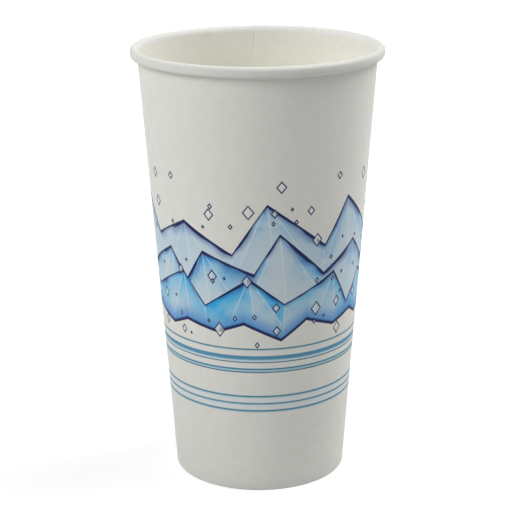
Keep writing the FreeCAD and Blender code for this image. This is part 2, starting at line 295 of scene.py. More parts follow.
def spun_sheet(points, spans):
    """A sheet swept clockwise from the back through the spans. Its vertices keep their
    angle, because past one turn their places no longer tell it."""
    mesh = bmesh.new()
    angle_layer = mesh.verts.layers.float.new("angle")
    start = Matrix.Rotation(TURN / 4, 4, "Z")
    verts = [mesh.verts.new(start @ point) for point in points]
    column = verts + [mesh.edges.new(pair) for pair in zip(verts, verts[1:])]
    angles = [0]
    for end, steps in spans:
        begin = angles[-1]
        sweep = end - begin
        result = bmesh.ops.spin(
            mesh, geom=column, cent=(0, 0, 0), axis=(0, 0, -1), angle=sweep, steps=steps
        )
        column = result["geom_last"]
        angles += [begin + sweep * step / steps for step in range(1, steps + 1)]
    for number, vert in enumerate(mesh.verts):
        vert[angle_layer] = angles[number // len(points)]
    return mesh, angle_layer


def inner_lap(angle):
    """1 on the inner ply of the lap, falling to 0 past it."""
    lap = LAP_WIDTH / PRINT_RADIUS
    return 1 - smooth_step(lap, lap + LAP_RAMP / PRINT_RADIUS, angle)


def share_over(point):
    """How much of the lap's step the outer ply takes, against the inner ply. The outer
    ply lies over the inner one, but at the foot the plies stay above the plane that the
    cup stands on, so there it is the inner ply that gives way."""
    return smooth_step(*LAP_FOOT, point.z)


def lap_sheet(mesh, angle_layer):
    """Step the sheet's outer end over its inner end, which the sealing press has squeezed
    thin, and make the lap the same width all the way up."""
    mesh.normal_update()
    normals = {vert: vert.normal.copy() for vert in mesh.verts}
    step = WALL_BOARD + SEAL_GAP / 2 - LAP_PRESS
    ramp = LAP_RAMP / PRINT_RADIUS
    for vert in mesh.verts:
        angle = vert[angle_layer]
        over = share_over(vert.co)
        outer = smooth_step(TURN - ramp, TURN, angle)
        shift = step * (outer * over - inner_lap(angle) * (1 - over))
        vert.co += normals[vert] * shift
        if angle > TURN:
            radius = math.hypot(vert.co.x, vert.co.y)
            spread = (angle - TURN) * (PRINT_RADIUS / radius - 1)
            vert.co.rotate(Matrix.Rotation(-spread, 3, "Z"))


def lay_out_print(mesh, angle_layer):
    """A map of the sheet in metres: round the cup from the middle of its front, to the
    right, and up from the foot."""
    layer = mesh.loops.layers.uv.new("sheet")
    for face in mesh.faces:
        for loop in face.loops:
            across = (math.pi - loop.vert[angle_layer]) * PRINT_RADIUS
            loop[layer].uv = (across, loop.vert.co.z)


def wave_wall(mesh):
    """Board is never quite true: the wall waves in and out a little between the foot and
    the rim, always to the inside of its straight line."""
    mesh.normal_update()
    for vert in mesh.verts:
        if vert.normal.dot(Vector((vert.co.x, vert.co.y, 0))) < 0:
            continue
        share = smooth_step(*WAVE_FOOT, vert.co.z)
        share *= 1 - smooth_step(*WAVE_TOP, vert.co.z)
        place = Vector((vert.co.x / WAVE_ACROSS, vert.co.y / WAVE_ACROSS, vert.co.z / WAVE_UP))
        wave = 0.5 + 0.5 * noise.noise(place)
        vert.co -= vert.normal * WALL_WAVE * wave * share


def knurl_hem(mesh, angle_layer):
    """The knurled wheel that presses the hem leaves upright ridges round its inner side."""
    for vert in mesh.verts:
        radius = math.hypot(vert.co.x, vert.co.y)
        if radius > FOOT_RADIUS - WALL_BOARD - BASE_BOARD:
            continue
        band = smooth_step(*KNURL_FOOT, vert.co.z)
        band *= 1 - smooth_step(*KNURL_TOP, vert.co.z)
        ridge = 0.5 + 0.5 * math.cos(vert[angle_layer] * KNURL_RIDGES)
        inward = -Vector((vert.co.x, vert.co.y, 0)) / radius
        vert.co += inward * KNURL_HEIGHT * ridge * band


def crush_inner_edge(angle_layer, coated):
    """The edge inside the cup is squeezed thin. It shows as a narrow sloping line near the
    rim, and lower down the squeeze is wider and all but smooths it away."""
    for vert in coated:
        radius = math.hypot(vert.co.x, vert.co.y)
        if radius > CROWN_RADIUS or not HEM_HEIGHT < vert.co.z < EDGE_SHADE_LEVELS[1]:
            continue
        sharp = smooth_step(*SHARP_LEVELS, vert.co.z)
        width = SOFT_EDGE + (CRUSHED_EDGE - SOFT_EDGE) * sharp
        squeeze = max(1 - vert[angle_layer] * PRINT_RADIUS / width, 0)
        depth = CRUSH_DEPTH * (1 - SHARP_LOSS * sharp)
        vert.co.xy *= 1 + depth * squeeze / radius


def paint_inner_edge_shade(mesh, angle_layer):
    """Painted shade: just under the rim, the coated side's faces along the crushed edge take
    the raw edge's darker material, which stands in for the shadow in the corner by the edge.
    """
    low, high = EDGE_SHADE_LEVELS
    for face in mesh.faces:
        middle = face.calc_center_median()
        if face.material_index != COATED_SIDE or middle.xy.length > CROWN_RADIUS:
            continue
        furthest = max(vert[angle_layer] for vert in face.verts) * PRINT_RADIUS
        if furthest < 1.01 * CRUSHED_EDGE and low < middle.z < high:
            # Painted shade: the strip by the crushed edge takes the raw edge's darker material.
            face.material_index = RAW_EDGE_AND_EDGE_SHADE


def side_wall(materials):
    """The wall, its rim and its hem: one sheet, lapped over itself at the back."""
    mesh, angle_layer = spun_sheet(wall_path(), wall_spans())
    wave_wall(mesh)
    knurl_hem(mesh, angle_layer)
    lap_sheet(mesh, angle_layer)
    lay_out_print(mesh, angle_layer)
    mesh.normal_update()
    plies = [
        (vert, vert.normal.copy(), inner_lap(vert[angle_layer]))
        for vert in mesh.verts
    ]
    coated = thicken_board(mesh, WALL_BOARD, PRINTED_SIDE, COATED_SIDE, RAW_EDGE_AND_EDGE_SHADE)
    for vert, normal, share in plies:
        vert.co -= normal * share * LAP_PRESS
    crush_inner_edge(angle_layer, coated)
    paint_inner_edge_shade(mesh, angle_layer)
    finish_piece("cup_wall", mesh, "side_wall", materials)


# --------------------------------------------------------------------------- base disc


def base_path():
    """The upper face of the base disc's board in section: from its middle out to the
    bend and down the skirt to its raw edge."""
    offset = WALL_BOARD + SEAL_GAP
    bend_level = FLOOR_LEVEL - FLOOR_BEND
    wall_radius = FOOT_RADIUS + bend_level * math.tan(SLOPE)
    bend_radius = wall_radius - (offset + FLOOR_BEND) / math.cos(SLOPE)
    centre = Vector((bend_radius, 0, bend_level))
    bend_foot = centre + OUTWARD * FLOOR_BEND
    skirt_foot = bend_foot - ALONG * ((bend_foot.z - SKIRT_LEVEL) / ALONG.z)
    floor_edge = Vector((bend_radius, 0, FLOOR_LEVEL))

    points = [Vector((0, 0, FLOOR_LEVEL))]
    points += line_points(points[0], floor_edge, 30)
    points += arc_points(centre, FLOOR_BEND, 0.5 * math.pi, -SLOPE, 8)
    points += line_points(bend_foot, skirt_foot, 6)
    points.append(skirt_foot)
    return points


def press_base(mesh):
    """Drawing the skirt down gathers the disc's bend into faint pleats, and leaves its
    floor not quite flat."""
    bend_radius = FOOT_RADIUS - WALL_BOARD - FLOOR_BEND
    for vert in mesh.verts:
        radius = math.hypot(vert.co.x, vert.co.y)
        angle = math.atan2(vert.co.y, vert.co.x)
        flat = 1 - smooth_step(bend_radius - FLOOR_MARGIN, bend_radius, radius)
        place = Vector((vert.co.x / FLOOR_WAVE_LENGTH, vert.co.y / FLOOR_WAVE_LENGTH, 0))
        drop = FLOOR_WAVE * flat * max(FLOOR_SAG + noise.noise(place), 0)
        pleat = smooth_step(bend_radius - PLEAT_LENGTH, bend_radius, radius)
        pleat *= smooth_step(FLOOR_LEVEL - FLOOR_BEND, FLOOR_LEVEL, vert.co.z)
        drop += PLEAT_DEPTH * pleat * (0.5 + 0.5 * math.cos(angle * PLEATS))
        vert.co.z -= drop


def base_disc(materials):
    """The floor and its turned-down skirt: one pressed disc."""
    mesh = bmesh.new()
    verts = [mesh.verts.new(point) for point in base_path()]
    line = verts + [mesh.edges.new(pair) for pair in zip(verts, verts[1:])]
    bmesh.ops.spin(
        mesh, geom=line, cent=(0, 0, 0), axis=(0, 0, 1), angle=TURN, steps=360, use_merge=True
    )
    bmesh.ops.remove_doubles(mesh, verts=mesh.verts[:], dist=0.001 * MM)
    bmesh.ops.recalc_face_normals(mesh, faces=mesh.faces[:])
    press_base(mesh)
    thicken_board(mesh, BASE_BOARD, COATED_SIDE, PLAIN_SIDE, RAW_EDGE_AND_EDGE_SHADE)
    finish_piece("cup_base", mesh, "base_disc", materials)


# -------------------------------------------------------------------------- materials


def linear(code):
    """An sRGB hex colour as linear red, green, blue and alpha."""
    channels = [int(code[start : start + 2], 16) / 255 for start in (1, 3, 5)]
    return [
        channel / 12.92 if channel <= 0.04045 else ((channel + 0.055) / 1.055) ** 2.4
        for channel in channels
    ] + [1]


def add(tree, kind, inputs=(), stops=(), **settings):
    """Add a node with its settings. Each input is a value, the socket that it is linked
    to, or the node whose first output it is linked to. Stops are a colour ramp's."""
    node = tree.nodes.new(kind)
    for name, value in settings.items():
        setattr(node, name, value)
    for name, value in dict(inputs).items():
        if isinstance(value, bpy.types.Node):
            value = value.outputs[0]
        if isinstance(value, bpy.types.NodeSocket):
            tree.links.new(value, node.inputs[name])
        else:
            node.inputs[name].default_value = value
    if stops:
        elements = node.color_ramp.elements
        while len(elements) < len(stops):
            elements.new(1)
        for element, (place, colour) in zip(elements, stops):
            element.position = place
            element.color = linear(colour)
    return node


def new_material(name):
    """A material with no nodes yet, and its node tree."""
    material = bpy.data.materials.new(name)
    material.use_nodes = True
    material.node_tree.nodes.clear()
    return material, material.node_tree


def laid_over(tree, under, over, value, edge, cover=(0, 1)):
    """One colour over another. The share of it that covers goes smoothly from the first
    to the second as the value crosses the edge."""
    share = add(
        tree,
        "ShaderNodeMapRange",
        {0: value, 1: edge[0], 2: edge[1], 3: cover[0], 4: cover[1]},
        interpolation_type="SMOOTHSTEP",
    )
    mix = add(tree, "ShaderNodeMix", {0: share, 6: under, 7: over}, data_type="RGBA")
    return mix.outputs[2]


# Real fibres are 0.03 mm wide, too fine to show. At this scale, per millimetre, they are
# drawn 0.3 mm wide.
FIBRE_SCALE = 3.3

# The clouds run between these values, from thin to thick, and a second shade comes in
# between these others.
CLOUDS = (0.3, 0.7)
MOTTLE = (0.35, 0.7)


def board_relief(tree, cloud_size, fibre_height, cloud_height):
    """The faint relief of paperboard: soft clouds where fibres lie thicker, and single
    fibres, all in millimetres. Gives the bumped normal and the clouds."""
    where = add(tree, "ShaderNodeTexCoord")
    millimetres = add(
        tree,
        "ShaderNodeVectorMath",
        {0: where.outputs["Object"], 1: (1 / MM,) * 3},
        operation="MULTIPLY",
    )
    clouds = add(
        tree,
        "ShaderNodeTexNoise",
        {"Vector": millimetres, "Scale": 1 / cloud_size, "Detail": 3, "Roughness": 0.6},
    )
    fibres = add(
        tree,
        "ShaderNodeTexNoise",
        {"Vector": millimetres, "Scale": FIBRE_SCALE, "Detail": 2, "Distortion": 1.2},
    )
    normal = None
    for pattern, height in ((clouds, cloud_height), (fibres, fibre_height)):
        inputs = {"Height": pattern.outputs["Fac"], "Distance": height * MM, "Strength": 1.0}
        if normal:
            inputs["Normal"] = normal
        normal = add(tree, "ShaderNodeBump", inputs)
    return normal, clouds.outputs["Fac"]


def mottled(tree, clouds, colour, shade, amount):
    """The colour, a little towards a second shade where the clouds are thick."""
    share = add(
        tree, "ShaderNodeMapRange", {0: clouds, 1: MOTTLE[0], 2: MOTTLE[1], 3: 0, 4: amount}
    )
    mix = add(tree, "ShaderNodeMix", {0: share, 6: colour, 7: linear(shade)}, data_type="RGBA")
    return mix.outputs[2]


def uneven_gloss(tree, clouds, smooth, rough):
    """A roughness that follows the clouds, because thick fibre lies rougher."""
    return add(
        tree, "ShaderNodeMapRange", {0: clouds, 1: CLOUDS[0], 2: CLOUDS[1], 3: smooth, 4: rough}
    )


def board_shader(tree, colour, roughness, normal):
    """Paperboard, dull because its pores break up the gloss of its surface."""
    shader = add(
        tree,
        "ShaderNodeBsdfPrincipled",
        {
            "Base Color": colour,
            "Roughness": roughness,
            "IOR": 1.5,
            "Specular IOR Level": 0.15,
            "Normal": normal,
        },
    )
    add(tree, "ShaderNodeOutputMaterial", {"Surface": shader})


# The film's colour by height, from this far under the rim, where it is most ivory, up to
# the crown of the rim, where it is white. This change with height is painted light: the
# whiter top stands in for light that spills in over the rim and through the thin board,
# and the ivory deep down stands in for light that has bounced round the inside.
FILM_DEPTH = 24 * MM
FILM_PAINTED_LIGHT_STOPS = (
    (0.0, "#f0eede"),
    (0.5, "#f1f0e8"),
    (0.79, "#f1f1eb"),
    (0.89, "#f1f1ec"),
    (0.93, "#f3f3f3"),
)
# Between these radii it passes onto the outside of the rolled rim, which is painted a
# greyer colour: painted shade that tones down the light on the rim's crown.
PAINTED_BEAD_SHADE_RADII = (RIM_RADIUS - 2.3 * MM, RIM_RADIUS - 1.5 * MM)


def film_coated_board():
    """Board with a film of polyethylene melted on: ivory, with a soft gloss that follows the
    fibres under the film. How its colour changes with height, and the grey on the outside
    of the rolled rim, are painted light and shade."""
    material, tree = new_material("film_coated_board")
    normal, clouds = board_relief(
        tree, cloud_size=2.6, fibre_height=0.005, cloud_height=0.018
    )
    where = add(tree, "ShaderNodeTexCoord")
    place = add(tree, "ShaderNodeSeparateXYZ", {0: where.outputs["Object"]})
    # Painted light: the film's colour is whiter towards the rim and more ivory deeper down.
    rise = add(
        tree,
        "ShaderNodeMapRange",
        {0: place.outputs["Z"], 1: HEIGHT - FILM_DEPTH, 2: HEIGHT},
    )
    film = add(tree, "ShaderNodeValToRGB", {0: rise}, stops=FILM_PAINTED_LIGHT_STOPS)
    level = add(
        tree,
        "ShaderNodeVectorMath",
        {0: where.outputs["Object"], 1: (1, 1, 0)},
        operation="MULTIPLY",
    )
    radius = add(tree, "ShaderNodeVectorMath", {0: level}, operation="LENGTH")
    # Painted shade: the outside of the rolled rim is greyer, to tone down the light on its
    # crown.
    with_painted_bead_shade = laid_over(tree, film, linear("#e0e0db"), radius.outputs["Value"], PAINTED_BEAD_SHADE_RADII)
    colour = mottled(tree, clouds, with_painted_bead_shade, "#e6e2d5", amount=0.3)
    gloss = uneven_gloss(tree, clouds, smooth=0.5, rough=0.62)
    board_shader(tree, colour, gloss, normal)
    return material


def plain_board():
    """Uncoated board, as under the floor: matt, a little creamier, with its fibres bare."""
    material, tree = new_material("uncoated_board")
    normal, clouds = board_relief(tree, cloud_size=1.8, fibre_height=0.02, cloud_height=0.04)
    colour = mottled(tree, clouds, linear("#e4e1d6"), "#cfc9b8", amount=0.4)
    gloss = uneven_gloss(tree, clouds, smooth=0.78, rough=0.92)
    board_shader(tree, colour, gloss, normal)
    return material


def cut_edge_and_shade_board():
    """The cut edge of the board: bare matt fibre in plies, greyer and darker than its
    faces, because nothing covers it. The same material also serves as the painted shade
    along the inner ply's crushed edge just under the rim."""
    material, tree = new_material("raw_cut_edge_and_painted_shade")
    normal, clouds = board_relief(tree, cloud_size=0.5, fibre_height=0.03, cloud_height=0.05)
    colour = mottled(tree, clouds, linear("#dcd5c4"), "#b8ae99", amount=0.7)
    board_shader(tree, colour, 0.95, normal)
    return material


# ------------------------------------------------------------------------------ print

# The print is a band of straight-edged facets, with cut diamonds round it and rings below.
# Its sizes are in millimetres.
PRINT_LENGTH = TURN * PRINT_RADIUS / MM
INK_EDGE = 0.12
INK_LIMITS = (-INK_EDGE, INK_EDGE)
CONTOUR = "#1d2659"

# A peak stands between these shares of the way along its own part of the ridge.
PEAK_PLACES = (0.28, 0.72)
# How far each crease under a peak goes to the right as it falls by one.
FACET_LEANS = (-0.42, 0.1, 0.66)
# What each crease adds to the number that a facet's tone is drawn from.
FACET_STEP = 0.31

# A facet's tone and the wash's clouds count as up to this much more depth in the tint,
# which runs between two depths.
TONE_DEPTH = 9.0
WASH_DEPTH = 22.0
TINT_DEPTHS = (8, 38)
# The wash's clouds are about 14 across, and the contour's weight changes over about 8.
WASH_SCALE = 0.07
SWELL_SCALE = 0.13
# As that noise goes from the first value to the second, the contour's width goes from the
# first of these times its own width to the second.
SWELL = (0.35, 0.65)
LINE_WEIGHTS = (0.65, 1.6)
# A ridge's wash is taken from the noise at this many times its chance seed, so that no
# two ridges are clouded alike.
WASH_APART = 20
# A crease's pale hairline fades between these distances from it. A contour's shadow and
# its own edge fade out at this many times its width.
HAIRLINE = (0.1, 0.3)
SHADOW_WIDTH = 4.5
CONTOUR_FADE = 1.6


def sheet_place(tree):
    """Millimetres round the wall from the middle of its front, and up from the foot."""
    sheet = add(tree, "ShaderNodeUVMap", uv_map="sheet")
    scaled = add(
        tree, "ShaderNodeVectorMath", {0: sheet, 1: (1 / MM,) * 3}, operation="MULTIPLY"
    )
    place = add(tree, "ShaderNodeSeparateXYZ", {0: scaled})
    return place.outputs["X"], place.outputs["Y"]


def ridge_line(tree, place, peaks, valley, peak, seed):
    """A line of straight slopes round the cup. Each peak has its own place and height.
    Gives the depth under the line, and what its facets need: the count of peaks so far,
    the share of it past the last valley, and the peak's number, place and height."""
    across, up = place
    count = add(
        tree,
        "ShaderNodeMath",
        {0: across, 1: peaks / PRINT_LENGTH, 2: seed},
        operation="MULTIPLY_ADD",
    )
    whole = add(tree, "ShaderNodeMath", {0: count}, operation="FLOOR")
    share = add(tree, "ShaderNodeMath", {0: count}, operation="FRACT")
    chances = []
    for step in (1, 0):
        following = add(tree, "ShaderNodeMath", {0: whole, 1: step}, operation="ADD")
        number = add(
            tree, "ShaderNodeMath", {0: following, 1: peaks}, operation="FLOORED_MODULO"
        )
        seeded = add(tree, "ShaderNodeMath", {0: number, 1: seed}, operation="ADD")
        dice = add(tree, "ShaderNodeTexWhiteNoise", {"W": seeded}, noise_dimensions="1D")
        chances.append(add(tree, "ShaderNodeSeparateColor", {0: dice.outputs["Color"]}))
    after, here = chances
    top = add(tree, "ShaderNodeMapRange", {0: here, 3: PEAK_PLACES[0], 4: PEAK_PLACES[1]})
    height = add(tree, "ShaderNodeMapRange", {0: here.outputs[1], 3: peak[0], 4: peak[1]})
    left_foot, right_foot = [
        add(tree, "ShaderNodeMapRange", {0: chance.outputs[2], 3: valley[0], 4: valley[1]})
        for chance in (here, after)
    ]
    left = add(
        tree,
        "ShaderNodeMapRange",
        {0: share, 1: 0, 2: top, 3: left_foot, 4: height},
        clamp=False,
    )
    right = add(
        tree,
        "ShaderNodeMapRange",
        {0: share, 1: top, 2: 1, 3: height, 4: right_foot},
        clamp=False,
    )
    on_left = add(tree, "ShaderNodeMath", {0: share, 1: top}, operation="LESS_THAN")
    line = add(tree, "ShaderNodeMix", {0: on_left, 2: right, 3: left})
    depth = add(tree, "ShaderNodeMath", {0: line, 1: up}, operation="SUBTRACT")
    return depth, (count, share, number, top, height)


def facets(tree, up, pitch, count, share, number, top, height):
    """Three creases fan down from each peak, and one more falls from each valley. Gives
    the distance from the nearest crease, and a tone for the facet between two creases."""
    fall = add(tree, "ShaderNodeMath", {0: height, 1: up}, operation="SUBTRACT")
    off_peak = add(tree, "ShaderNodeMath", {0: share, 1: top}, operation="SUBTRACT")
    aside = add(tree, "ShaderNodeMath", {0: off_peak, 1: pitch}, operation="MULTIPLY")
    off_valley = add(tree, "ShaderNodeMath", {0: count, 1: 0.5}, operation="PINGPONG")
    nearest = add(tree, "ShaderNodeMath", {0: off_valley, 1: pitch}, operation="MULTIPLY")
    facet = number
    for lean in FACET_LEANS:
        gap = add(
            tree, "ShaderNodeMath", {0: fall, 1: -lean, 2: aside}, operation="MULTIPLY_ADD"
        )
        past = add(tree, "ShaderNodeMath", {0: gap, 1: 0}, operation="GREATER_THAN")
        facet = add(
            tree,
            "ShaderNodeMath",
            {0: past, 1: FACET_STEP, 2: facet},
            operation="MULTIPLY_ADD",
        )
        distance = add(tree, "ShaderNodeMath", {0: gap}, operation="ABSOLUTE")
        nearest = add(
            tree, "ShaderNodeMath", {0: distance, 1: nearest}, operation="MINIMUM"
        )
    tone = add(tree, "ShaderNodeTexWhiteNoise", {"W": facet}, noise_dimensions="1D")
    return nearest, tone.outputs["Value"]


def facet_layer(tree, ground, place, shape, stops, contour):
    """Print one ridge of facets over the ground: a dark contour along its upper edge,
    and a tint that fades with the depth under it."""
    across, up = place
    depth, peak = ridge_line(tree, place, *shape)
    crease_gap, tone = facets(tree, up, PRINT_LENGTH / shape[0], *peak)
    toned = add(
        tree, "ShaderNodeMath", {0: tone, 1: TONE_DEPTH, 2: depth}, operation="MULTIPLY_ADD"
    )
    spread = add(
        tree, "ShaderNodeCombineXYZ", {0: across, 1: up, 2: WASH_APART * shape[-1]}
    )
    wash = add(
        tree,
        "ShaderNodeTexNoise",
        {"Vector": spread, "Scale": WASH_SCALE, "Detail": 1.5, "Distortion": 1.4},
    )
    cloudy = add(
        tree,
        "ShaderNodeMath",
        {0: wash.outputs["Fac"], 1: WASH_DEPTH, 2: toned},
        operation="MULTIPLY_ADD",
    )
    level = add(
        tree, "ShaderNodeMapRange", {0: cloudy, 1: TINT_DEPTHS[0], 2: TINT_DEPTHS[1]}
    )
    tint = add(tree, "ShaderNodeValToRGB", {0: level}, stops=stops)
    swell = add(
        tree, "ShaderNodeTexNoise", {"Vector": spread, "Scale": SWELL_SCALE, "Detail": 0}
    )
    weight = add(
        tree,
        "ShaderNodeMapRange",
        {
            0: swell.outputs["Fac"],
            1: SWELL[0],
            2: SWELL[1],
            3: LINE_WEIGHTS[0],
            4: LINE_WEIGHTS[1],
        },
    )
    inked = add(tree, "ShaderNodeMath", {0: depth, 1: weight}, operation="DIVIDE")
    shadow = (contour, contour * SHADOW_WIDTH)
    line = (contour, contour * CONTOUR_FADE)
    layer = laid_over(tree, tint, linear("#e3ecf2"), crease_gap, HAIRLINE, cover=(0.6, 0))
    layer = laid_over(tree, layer, linear("#234f9c"), inked, shadow, cover=(0.55, 0))
    layer = laid_over(tree, layer, linear(CONTOUR), inked, line, cover=(1, 0))
    return laid_over(tree, ground, layer, depth, INK_LIMITS)


# Each tint runs from the contour down.
BACK_STOPS = (
    (0.0, "#4a94d2"), (0.18, "#8fbfe0"), (0.4, "#bfd5e2"), (1.0, "#d2dde3"),
)
MIDDLE_STOPS = (
    (0.0, "#2a86d4"), (0.14, "#4aa9e2"), (0.32, "#93c5e2"), (0.55, "#c2d7e2"), (1.0, "#d0dce3"),
)
FRONT_STOPS = (
    (0.0, "#2388d6"), (0.14, "#3bb0e8"), (0.36, "#84c6e6"), (0.62, "#b6d3e2"), (1.0, "#c8d9e2"),
)
# Each ridge: how many peaks, the heights of its valleys and peaks, and its chance seed.
BACK_RIDGE = (7, (89, 95), (100, 112), 0.31)
MIDDLE_RIDGE = (9, (79, 86), (89, 100), 5.11)
FRONT_RIDGE = (8, (67, 73), (77, 86), 9.73)
# The line under the facets is a ridge whose peaks point down.
UNDER_EDGE = (10, (63.5, 68), (58, 62), 13.29)
# Each layer of facets from the back: its ridge, its tint and its contour's width.
LAYERS = (
    (BACK_RIDGE, BACK_STOPS, 0.75),
    (MIDDLE_RIDGE, MIDDLE_STOPS, 0.9),
    (FRONT_RIDGE, FRONT_STOPS, 0.65),
)
# Above the line under the facets, a deeper blue and then its contour come in.
UNDER_GLOW = (-8, -0.8)
UNDER_CONTOUR = (-1.7, -0.8)


def facet_band(tree, ground, place):
    """Three ridges of facets, one in front of another, cut off below by a fourth line."""
    band = ground
    for ridge, stops, contour in LAYERS:
        band = facet_layer(tree, band, place, ridge, stops, contour)
    depth = ridge_line(tree, place, *UNDER_EDGE)[0]
    band = laid_over(tree, band, linear("#3f8fd3"), depth, UNDER_GLOW, cover=(0, 0.85))
    band = laid_over(tree, band, linear(CONTOUR), depth, UNDER_CONTOUR)
    return laid_over(tree, band, ground, depth, INK_LIMITS)


# Two scatters of diamonds. Each is how many cells of its grid go round the cup, how tall
# a cell is, the two heights, the share of cells that hold a diamond, the least and most
# that is half its width, and its chance seed.
LARGE_DIAMONDS = (19, 11, (55, 122), 0.5, (1.2, 2.4), 3)
SMALL_DIAMONDS = (31, 7, (56, 112), 0.36, (0.6, 1.05), 8)
# Half a diamond's width over half its height.
DIAMOND_SHAPE = 0.78
# A diamond's middle keeps this many times its most half width from its cell's edge.
DIAMOND_ROOM = 1.35
# Its outline fades into its glaze between these distances from its edge, and the glaze
# covers by the first share on its right half and by the second on its left.
DIAMOND_OUTLINE = (0.42, 0.68)
DIAMOND_GLAZE = (0.42, 0.8)


def diamonds(tree, ground, place, columns, pitch, levels, share, sizes, seed):
    """Scatter outlined cut diamonds over the ground between two heights, at most one in
    each cell of a grid."""
    across, up = place
    column = add(
        tree,
        "ShaderNodeMath",
        {0: across, 1: columns / PRINT_LENGTH, 2: seed},
        operation="MULTIPLY_ADD",
    )
    row = add(tree, "ShaderNodeMath", {0: up, 1: 1 / pitch}, operation="MULTIPLY")
    column_number = add(tree, "ShaderNodeMath", {0: column}, operation="FLOOR")
    around = add(
        tree, "ShaderNodeMath", {0: column_number, 1: columns}, operation="FLOORED_MODULO"
    )
    row_number = add(tree, "ShaderNodeMath", {0: row}, operation="FLOOR")
    cell = add(tree, "ShaderNodeCombineXYZ", {0: around, 1: row_number, 2: seed})
    dice = add(tree, "ShaderNodeTexWhiteNoise", {0: cell}, noise_dimensions="3D")
    chance = add(tree, "ShaderNodeSeparateColor", {0: dice.outputs["Color"]})
    width = add(
        tree, "ShaderNodeMapRange", {0: dice.outputs["Value"], 3: sizes[0], 4: sizes[1]}
    )
    offsets = []
    for index, (count, span) in enumerate(((column, PRINT_LENGTH / columns), (row, pitch))):
        part = add(tree, "ShaderNodeMath", {0: count}, operation="FRACT")
        margin = DIAMOND_ROOM * sizes[1] / span
        centre = add(
            tree, "ShaderNodeMapRange", {0: chance.outputs[index], 3: margin, 4: 1 - margin}
        )
        gap = add(tree, "ShaderNodeMath", {0: part, 1: centre}, operation="SUBTRACT")
        offsets.append(add(tree, "ShaderNodeMath", {0: gap, 1: span}, operation="MULTIPLY"))
    aside, above = offsets
    side = add(tree, "ShaderNodeMath", {0: aside}, operation="ABSOLUTE")
    tall = add(tree, "ShaderNodeMath", {0: above}, operation="ABSOLUTE")
    reach = add(
        tree, "ShaderNodeMath", {0: tall, 1: DIAMOND_SHAPE, 2: side}, operation="MULTIPLY_ADD"
    )
    inset = add(tree, "ShaderNodeMath", {0: width, 1: reach}, operation="SUBTRACT")

    # A cell holds a diamond if it passes three tests: chance, the lowest row, the highest.
    tests = (
        (chance.outputs[2], share, "LESS_THAN"),
        (row_number, levels[0] / pitch - 0.5, "GREATER_THAN"),
        (row_number, levels[1] / pitch - 0.5, "LESS_THAN"),
    )
    kept = 1
    for value, limit, test in tests:
        passed = add(tree, "ShaderNodeMath", {0: value, 1: limit}, operation=test)
        kept = add(tree, "ShaderNodeMath", {0: passed, 1: kept}, operation="MULTIPLY")

    lit = add(tree, "ShaderNodeMath", {0: aside, 1: 0}, operation="LESS_THAN")
    shine = add(
        tree, "ShaderNodeMapRange", {0: lit, 3: DIAMOND_GLAZE[0], 4: DIAMOND_GLAZE[1]}
    )
    glaze = add(
        tree, "ShaderNodeMix", {0: shine, 6: ground, 7: linear("#e6eaec")}, data_type="RGBA"
    )
    stone = laid_over(tree, linear("#27325a"), glaze.outputs[2], inset, DIAMOND_OUTLINE)
    return laid_over(tree, ground, stone, inset, INK_LIMITS, cover=(0, kept))


# Each ring's height, half its width, and its colour. Three pale washes come first, and
# then most of the dark rings have a pale one under them.
RINGS = (
    (51.6, 0.9, "#cfdfe6"),
    (47.6, 0.6, "#b5d3dc"),
    (34.8, 2.6, "#e1e4e4"),
    (55.8, 0.42, "#a8cbd9"),
    (55.9, 0.2, "#487588"),
    (52.5, 0.85, "#8dbdd3"),
    (52.6, 0.6, "#5a93b3"),
    (50.8, 0.2, "#467286"),
    (48.1, 0.45, "#97c6da"),
    (48.2, 0.22, "#467c92"),
    (47.0, 0.22, "#467286"),
    (37.5, 0.5, "#a3cadb"),
    (37.6, 0.22, "#4b7b8e"),
    (34.7, 0.45, "#a3cadb"),
    (34.8, 0.2, "#4d7c8f"),
    (31.9, 0.5, "#9cc7da"),
    (32.0, 0.22, "#4a7a8d"),
)


def rings(tree, ground, place):
    """Straight rings of ink below the band."""
    colour = ground
    for level, half, ink in RINGS:
        gap = add(tree, "ShaderNodeMath", {0: place[1], 1: level}, operation="SUBTRACT")
        distance = add(tree, "ShaderNodeMath", {0: gap}, operation="ABSOLUTE")
        edge = (half - INK_EDGE, half + INK_EDGE)
        colour = laid_over(tree, colour, linear(ink), distance, edge, cover=(1, 0))
    return colour


def printed_board():
    """Clay-coated board, printed and varnished: a smooth white satin, a little uneven in
    its gloss, on which the ink lies as a flat tint."""
    material, tree = new_material("printed_clay_coated_board")
    place = sheet_place(tree)
    normal, clouds = board_relief(
        tree, cloud_size=3.2, fibre_height=0.004, cloud_height=0.018
    )
    colour = mottled(tree, clouds, linear("#e8e7e1"), "#dcdad2", amount=0.3)
    colour = rings(tree, colour, place)
    colour = facet_band(tree, colour, place)
    for scatter in (LARGE_DIAMONDS, SMALL_DIAMONDS):
        colour = diamonds(tree, colour, place, *scatter)
    gloss = uneven_gloss(tree, clouds, smooth=0.46, rough=0.58)
    board_shader(tree, colour, gloss, normal)
    return material


# ------------------------------------------------------------------------------ stage

# The floor glows a little less near the cup, so that it takes the cup's shadow there.
GLOW_NEAR = 0.6
GLOW_FAR = 1.0
GLOW_DISTANCES = (0.3, 1.2)
FLOOR_RADIUS = 4

# Soft square lamps, all aimed at the middle of the cup. Each is its place and its watts.
LAMP_SIZE = 0.8
LAMP_AIM = Vector((0, 0, 80 * MM))
LAMPS = {
    "left": ((-0.872, -0.611, 0.826), 10.4),
    "right": ((1.061, -0.093, 0.826), 3.2),
    "right_above": ((0.720, 0.193, 1.145), 11.7),
    "back": ((-0.862, 0.498, 0.916), 2.3),
}
WORLD_STRENGTH = 0.1


